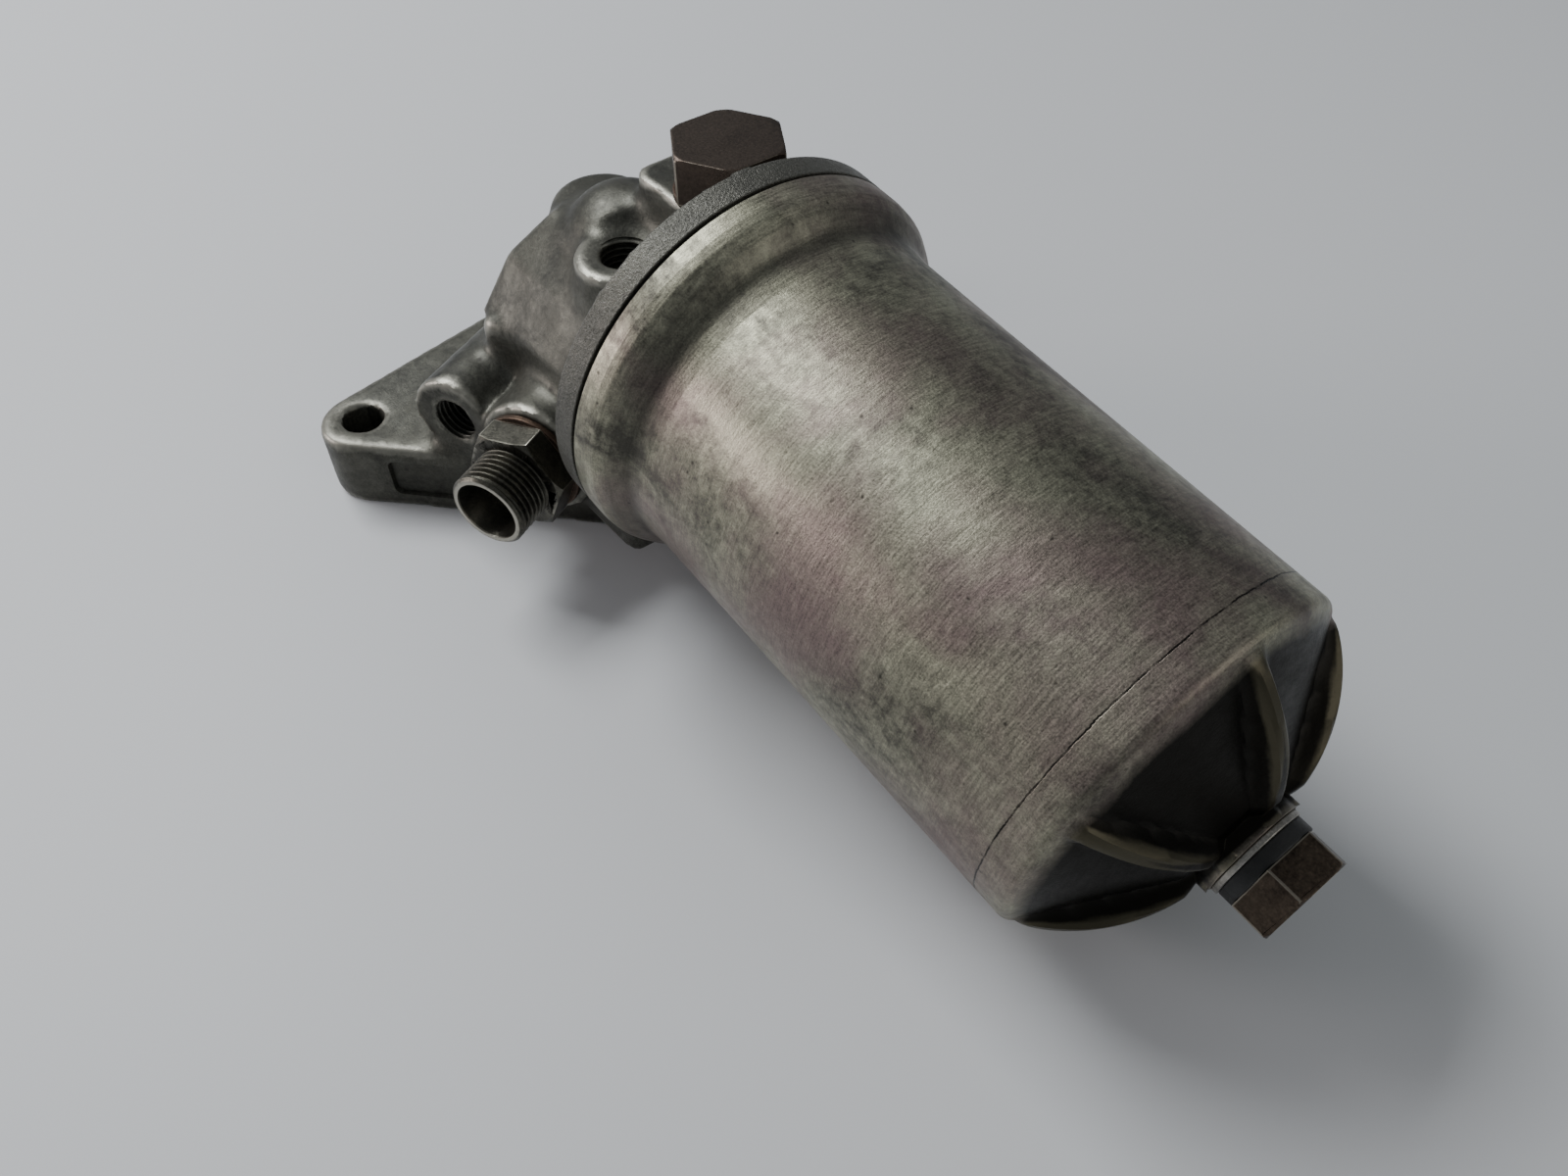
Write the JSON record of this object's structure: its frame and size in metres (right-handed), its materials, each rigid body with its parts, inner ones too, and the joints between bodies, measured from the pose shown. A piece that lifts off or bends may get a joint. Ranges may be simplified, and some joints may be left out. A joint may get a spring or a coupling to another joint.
{
  "type": "fuel filter",
  "caption": "Cartridge fuel filter: cast head with a two-hole mounting flange, threaded ports and hex plug, and a finned-end bowl held on by one long bolt.",
  "frame": {"origin": "on the mounting face, midway between the two mounting holes", "axes": "+Z is normal to the mounting face, into the part; +X runs from the head towards the bowl's far end, so the canister's axis lies in the XZ plane, sloping down 8 degrees; +Y completes the frame"},
  "size_m": [0.2457, 0.1378, 0.0979],
  "materials": {
    "cast_head": "sand-cast, oil-darkened, machined faces bright",
    "bowl_cast": "turned casting, mottled and stained",
    "plug_steel": "browned steel with worn edges",
    "bolt_steel": "browned steel with worn edges",
    "union_steel": "oily zinc-plated steel",
    "nipple_steel": "turned steel",
    "washer_steel": "plain steel",
    "spring_steel": "spring wire",
    "seat_steel": "pressed, yellow passivated",
    "cap_steel": "tinned sheet",
    "tube_steel": "perforated sheet",
    "valve_brass": "turned brass",
    "copper_ring": "annealed copper, tarnished",
    "seal_rubber": "black nitrile",
    "grommet_rubber": "black nitrile",
    "filter_paper": "resin-treated pleated paper",
    "sleeve_card": "perforated card wrap"
  },
  "bodies": {
    "bowl": {"bowl": "bowl_cast", "rim_seal": "seal_rubber", "element_spring": "spring_steel"},
    "head": {"filter_head": "cast_head", "spigot_nipple": "nipple_steel", "valve_seat": "valve_brass", "valve_spring": "spring_steel"},
    "element": {"element_media": "filter_paper", "element_sleeve": "sleeve_card", "centre_tube": "tube_steel", "upper_end_cap": "cap_steel", "lower_end_cap": "cap_steel", "upper_grommet": "grommet_rubber", "lower_grommet": "grommet_rubber", "spring_seat": "seat_steel"},
    "bolt_collar": {"bolt_washer": "washer_steel", "bolt_seal": "seal_rubber"},
    "bolt": {"centre_bolt": "bolt_steel", "bolt_clip": "spring_steel"},
    "plug_collar": {"plug_washer": "copper_ring"},
    "plug": {"top_plug": "plug_steel"},
    "union_collar": {"union_washer": "copper_ring"},
    "union": {"outlet_union": "union_steel"},
    "valve": {"valve_piston": "valve_brass"}
  },
  "joints": [
    {"name": "head_lift", "type": "slide", "parent": "bowl", "child": "head", "axis": [-0.9903, 0, 0.1392], "range_m": [0, 0.06]},
    {"name": "element_press", "type": "slide", "parent": "bowl", "child": "element", "axis": [0.9903, 0, -0.1392], "range_m": [0, 0.004], "stiffness_N_per_m": 2500, "springref_m": -0.006, "deforming": ["element_spring"]},
    {"name": "bolt_travel", "type": "slide", "parent": "bowl", "child": "bolt_collar", "axis": [0.9903, 0, -0.1392], "range_m": [0, 0.012]},
    {"name": "bolt_turn", "type": "hinge", "parent": "bolt_collar", "child": "bolt", "pos_m": [0.0805, 0, 0.054], "axis": [0.9903, 0, -0.1392], "range_deg": [0, 2880]},
    {"name": "plug_travel", "type": "slide", "parent": "head", "child": "plug_collar", "axis": [0, 0, 1], "range_m": [0, 0.012]},
    {"name": "plug_turn", "type": "hinge", "parent": "plug_collar", "child": "plug", "pos_m": [0.0615, 0.0106, 0.0825], "axis": [0, 0, 1], "range_deg": [0, 2880]},
    {"name": "union_travel", "type": "slide", "parent": "head", "child": "union_collar", "axis": [0.4226, -0.9063, 0], "range_m": [0, 0.012]},
    {"name": "union_turn", "type": "hinge", "parent": "union_collar", "child": "union", "pos_m": [0.0489, -0.0378, 0.027], "axis": [0.4226, -0.9063, 0], "range_deg": [0, 2880]},
    {"name": "valve_lift", "type": "slide", "parent": "head", "child": "valve", "axis": [0, 0, 1], "range_m": [0, 0.003], "stiffness_N_per_m": 300, "springref_m": -0.008, "deforming": ["valve_spring"]}
  ],
  "couplings": [
    {"joint": "bolt_turn", "follows": "bolt_travel", "rad_per_m": 4188.7},
    {"joint": "plug_turn", "follows": "plug_travel", "rad_per_m": 4188.7},
    {"joint": "union_turn", "follows": "union_travel", "rad_per_m": 4188.7}
  ]
}
